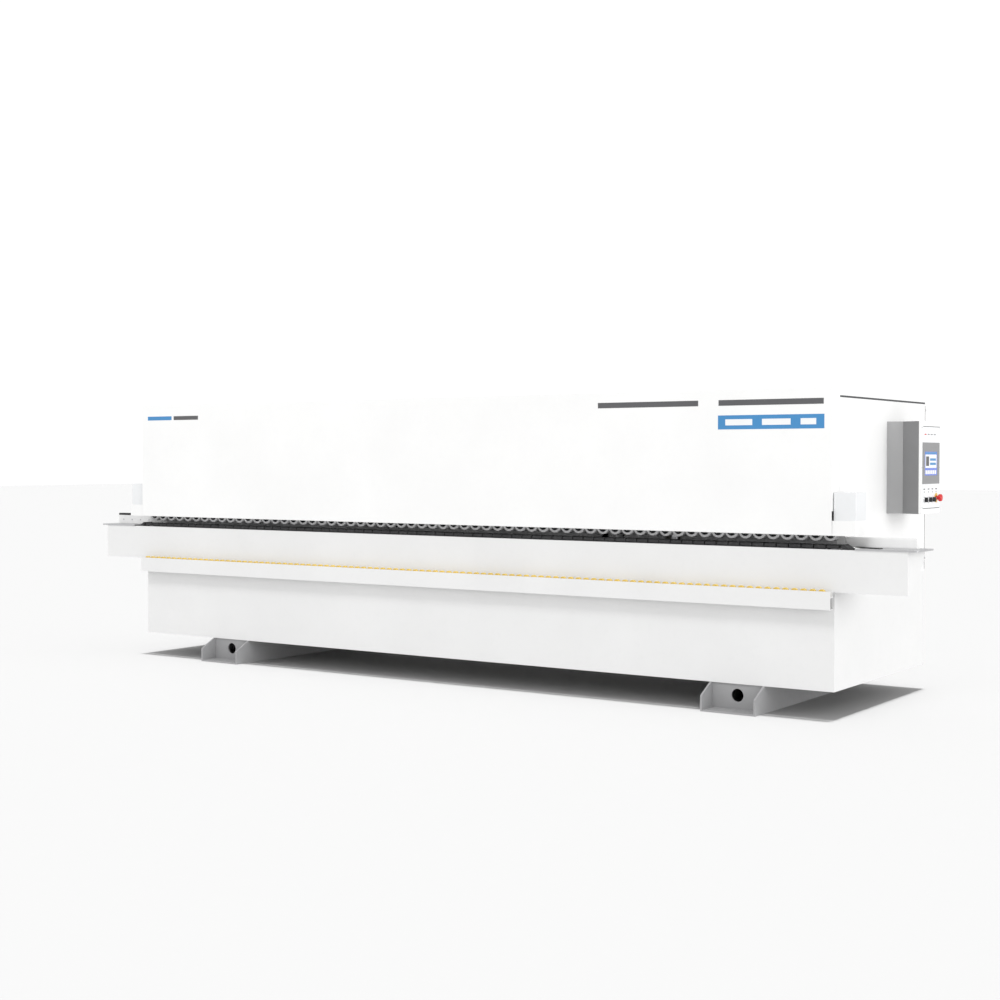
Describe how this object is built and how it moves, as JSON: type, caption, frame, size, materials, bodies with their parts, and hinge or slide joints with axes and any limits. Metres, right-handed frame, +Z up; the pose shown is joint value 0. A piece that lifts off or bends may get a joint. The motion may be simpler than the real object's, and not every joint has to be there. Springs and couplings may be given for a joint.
{
  "type": "edge banding machine",
  "caption": "Long through-feed edge banding machine: board track under sprung wheels, hinged hood, side console and pull-out roller support, on two channel feet.",
  "frame": {"origin": "on the floor under the middle of the machine's bounding box", "axes": "+X along the feed line towards the infeed end, +Y from the operator's side to the rear, +Z up"},
  "size_m": [5.88, 1.572, 1.705],
  "materials": {
    "white_paint": "smooth satin powder coat",
    "grey_paint": "fine satin powder coat",
    "dark_paint": "matt dark powder coat",
    "foot_paint": "satin powder coat",
    "machined_steel": "ground steel",
    "bright_steel": "hard chromed",
    "zinc": "zinc plated",
    "aluminium": "anodised",
    "pad_rubber": "matt moulded rubber",
    "wheel_rubber": "matt grey rubber",
    "yellow_plastic": "moulded",
    "black_plastic": "fine grained",
    "red_plastic": "glossy",
    "panel_foil": "printed foil",
    "screen_glass": "glossy touch screen",
    "motor_paint": "hammer grey-blue",
    "glue_enamel": "non-stick enamel",
    "tape": "PVC edging tape",
    "blade_steel": "ground tool steel",
    "felt": "stitched cotton discs"
  },
  "bodies": {
    "machine": {"base_frame": "white_paint", "feet": "foot_paint", "end_wall_right": "white_paint", "end_wall_left": "white_paint", "roof_panel": "dark_paint", "tool_wall": "dark_paint", "unit_bed": "machined_steel", "track_skirt": "white_paint", "track_bed": "dark_paint", "table_plates": "machined_steel", "infeed_fence": "white_paint", "outfeed_guide": "white_paint", "track_motor": "motor_paint", "lift_columns": "machined_steel", "hinge_brackets": "zinc", "console_bracket": "grey_paint", "console_housing": "grey_paint", "console_bezel": "white_paint", "console_panel": "panel_foil", "console_screen": "screen_glass", "rear_frame": "white_paint", "rear_rails": "white_paint", "electrical_plate": "zinc", "glue_pot": "glue_enamel", "unit_supports": "machined_steel", "unit_motors": "motor_paint", "dust_duct": "zinc"},
    "hood_door": {"hood_door": "white_paint"},
    "rear_door_right": {"rear_door_right": "white_paint"},
    "rear_door_left": {"rear_door_left": "white_paint"},
    "cabinet_door": {"cabinet_door": "white_paint"},
    "main_switch": {"main_switch": "red_plastic"},
    "track_upper": {"track_pads_upper": "pad_rubber"},
    "track_return": {"track_pads_return": "pad_rubber"},
    "sprocket_infeed": {"sprocket_infeed": "pad_rubber"},
    "sprocket_outfeed": {"sprocket_outfeed": "pad_rubber"},
    "pressure_beam": {"pressure_beam": "white_paint", "beam_end_boxes": "white_paint", "wheel_axles": "zinc", "pressure_wheels": "wheel_rubber", "lift_carriages": "machined_steel"},
    "wheel_first": {"pressure_wheel_first": "wheel_rubber"},
    "wheel_last": {"pressure_wheel_last": "wheel_rubber"},
    "lift_screw_right": {"lift_screw_right": "bright_steel"},
    "lift_screw_left": {"lift_screw_left": "bright_steel"},
    "lift_shaft": {"lift_shaft": "bright_steel"},
    "support_beam": {"support_beam": "white_paint", "support_rollers": "yellow_plastic", "support_rods": "bright_steel"},
    "selector_left": {"selector_left": "black_plastic"},
    "selector_middle": {"selector_middle": "black_plastic"},
    "selector_right": {"selector_right": "black_plastic"},
    "emergency_stop": {"emergency_stop": "red_plastic"},
    "glue_lid": {"glue_lid": "aluminium"},
    "glue_roller": {"glue_roller": "bright_steel"},
    "press_roller": {"press_roller": "wheel_rubber"},
    "tape_reel": {"tape_reel": "tape"},
    "trim_cutter_top": {"trim_cutter_top": "blade_steel"},
    "trim_cutter_bottom": {"trim_cutter_bottom": "blade_steel"},
    "buffing_wheel": {"buffing_wheel": "felt"}
  },
  "joints": [
    {"name": "hood_door_hinge", "type": "hinge", "parent": "machine", "child": "hood_door", "pos_m": [0, -0.59, 1.684], "axis": [-1, 0, 0], "range_deg": [0, 80]},
    {"name": "rear_door_right_slide", "type": "slide", "parent": "machine", "child": "rear_door_right", "axis": [-1, 0, 0], "range_m": [0, 2.3]},
    {"name": "rear_door_left_slide", "type": "slide", "parent": "machine", "child": "rear_door_left", "axis": [1, 0, 0], "range_m": [0, 2.3]},
    {"name": "cabinet_door_hinge", "type": "hinge", "parent": "machine", "child": "cabinet_door", "pos_m": [2.432, 0.686, 0.42], "axis": [0, 0, -1], "range_deg": [0, 110]},
    {"name": "main_switch_turn", "type": "hinge", "parent": "cabinet_door", "child": "main_switch", "pos_m": [1.61, 0.694, 0.42], "axis": [0, 1, 0], "range_deg": [0, 90]},
    {"name": "track_run", "type": "slide", "parent": "machine", "child": "track_upper", "axis": [-1, 0, 0], "range_m": [0, 0.0691]},
    {"name": "track_return_run", "type": "slide", "parent": "machine", "child": "track_return", "axis": [1, 0, 0], "range_m": [0, 0.0691]},
    {"name": "sprocket_infeed_turn", "type": "hinge", "parent": "machine", "child": "sprocket_infeed", "pos_m": [2.52215, -0.632, 0.81001], "axis": [0, -1, 0], "range_deg": [0, 60.2]},
    {"name": "sprocket_outfeed_turn", "type": "hinge", "parent": "machine", "child": "sprocket_outfeed", "pos_m": [-2.52215, -0.632, 0.81001], "axis": [0, -1, 0], "range_deg": [0, 60.2]},
    {"name": "pressure_beam_lift", "type": "slide", "parent": "machine", "child": "pressure_beam", "axis": [0, 0, 1], "range_m": [-0.008, 0.042]},
    {"name": "lift_screw_right_turn", "type": "hinge", "parent": "machine", "child": "lift_screw_right", "pos_m": [2.29, -0.64, 1.3], "axis": [0, 0, 1], "range_deg": [-289, 1514]},
    {"name": "lift_screw_left_turn", "type": "hinge", "parent": "machine", "child": "lift_screw_left", "pos_m": [-2.29, -0.64, 1.3], "axis": [0, 0, 1], "range_deg": [-289, 1514]},
    {"name": "lift_shaft_turn", "type": "hinge", "parent": "machine", "child": "lift_shaft", "pos_m": [0, -0.64, 1.628], "axis": [1, 0, 0], "range_deg": [-289, 1514]},
    {"name": "wheel_first_spin", "type": "hinge", "parent": "pressure_beam", "child": "wheel_first", "pos_m": [2.4625, -0.617, 0.9555], "axis": [0, 1, 0], "continuous": true},
    {"name": "wheel_last_spin", "type": "hinge", "parent": "pressure_beam", "child": "wheel_last", "pos_m": [-2.4625, -0.617, 0.9555], "axis": [0, 1, 0], "continuous": true},
    {"name": "support_beam_pull", "type": "slide", "parent": "machine", "child": "support_beam", "axis": [0, -1, 0], "range_m": [0, 0.6]},
    {"name": "selector_left_turn", "type": "hinge", "parent": "machine", "child": "selector_left", "pos_m": [2.703, 0.081, 1.116], "axis": [1, 0, 0], "range_deg": [-45, 45]},
    {"name": "selector_middle_turn", "type": "hinge", "parent": "machine", "child": "selector_middle", "pos_m": [2.703, 0.15, 1.116], "axis": [1, 0, 0], "range_deg": [-45, 45]},
    {"name": "selector_right_turn", "type": "hinge", "parent": "machine", "child": "selector_right", "pos_m": [2.703, 0.212, 1.116], "axis": [1, 0, 0], "range_deg": [-45, 45]},
    {"name": "emergency_stop_press", "type": "slide", "parent": "machine", "child": "emergency_stop", "axis": [-1, 0, 0], "range_m": [0, 0.006], "stiffness_N_per_m": 900},
    {"name": "glue_lid_hinge", "type": "hinge", "parent": "machine", "child": "glue_lid", "pos_m": [1.5, -0.306, 1.08], "axis": [-1, 0, 0], "range_deg": [0, 100]},
    {"name": "glue_roller_spin", "type": "hinge", "parent": "machine", "child": "glue_roller", "pos_m": [1.5, -0.508, 0.93], "axis": [0, 0, 1], "continuous": true},
    {"name": "press_roller_spin", "type": "hinge", "parent": "machine", "child": "press_roller", "pos_m": [1.12, -0.472, 0.93], "axis": [0, 0, 1], "continuous": true},
    {"name": "tape_reel_spin", "type": "hinge", "parent": "machine", "child": "tape_reel", "pos_m": [1.85, 0.18, 1.208], "axis": [0, 0, 1], "continuous": true},
    {"name": "trim_cutter_top_spin", "type": "hinge", "parent": "machine", "child": "trim_cutter_top", "pos_m": [-0.42, -0.5, 0.948], "axis": [0, 1, 0], "continuous": true},
    {"name": "trim_cutter_bottom_spin", "type": "hinge", "parent": "machine", "child": "trim_cutter_bottom", "pos_m": [-0.54, -0.5, 0.893], "axis": [0, 1, 0], "continuous": true},
    {"name": "buffing_wheel_spin", "type": "hinge", "parent": "machine", "child": "buffing_wheel", "pos_m": [-1.56, -0.5, 0.985], "axis": [0, 1, 0], "continuous": true}
  ],
  "couplings": [
    {"joint": "track_return_run", "follows": "track_run", "ratio": 1},
    {"joint": "sprocket_infeed_turn", "follows": "track_run", "rad_per_m": 15.155},
    {"joint": "sprocket_outfeed_turn", "follows": "track_run", "rad_per_m": 15.155},
    {"joint": "lift_screw_right_turn", "follows": "pressure_beam_lift", "rad_per_m": 628.32},
    {"joint": "lift_screw_left_turn", "follows": "pressure_beam_lift", "rad_per_m": 628.32},
    {"joint": "lift_shaft_turn", "follows": "pressure_beam_lift", "rad_per_m": 628.32}
  ]
}
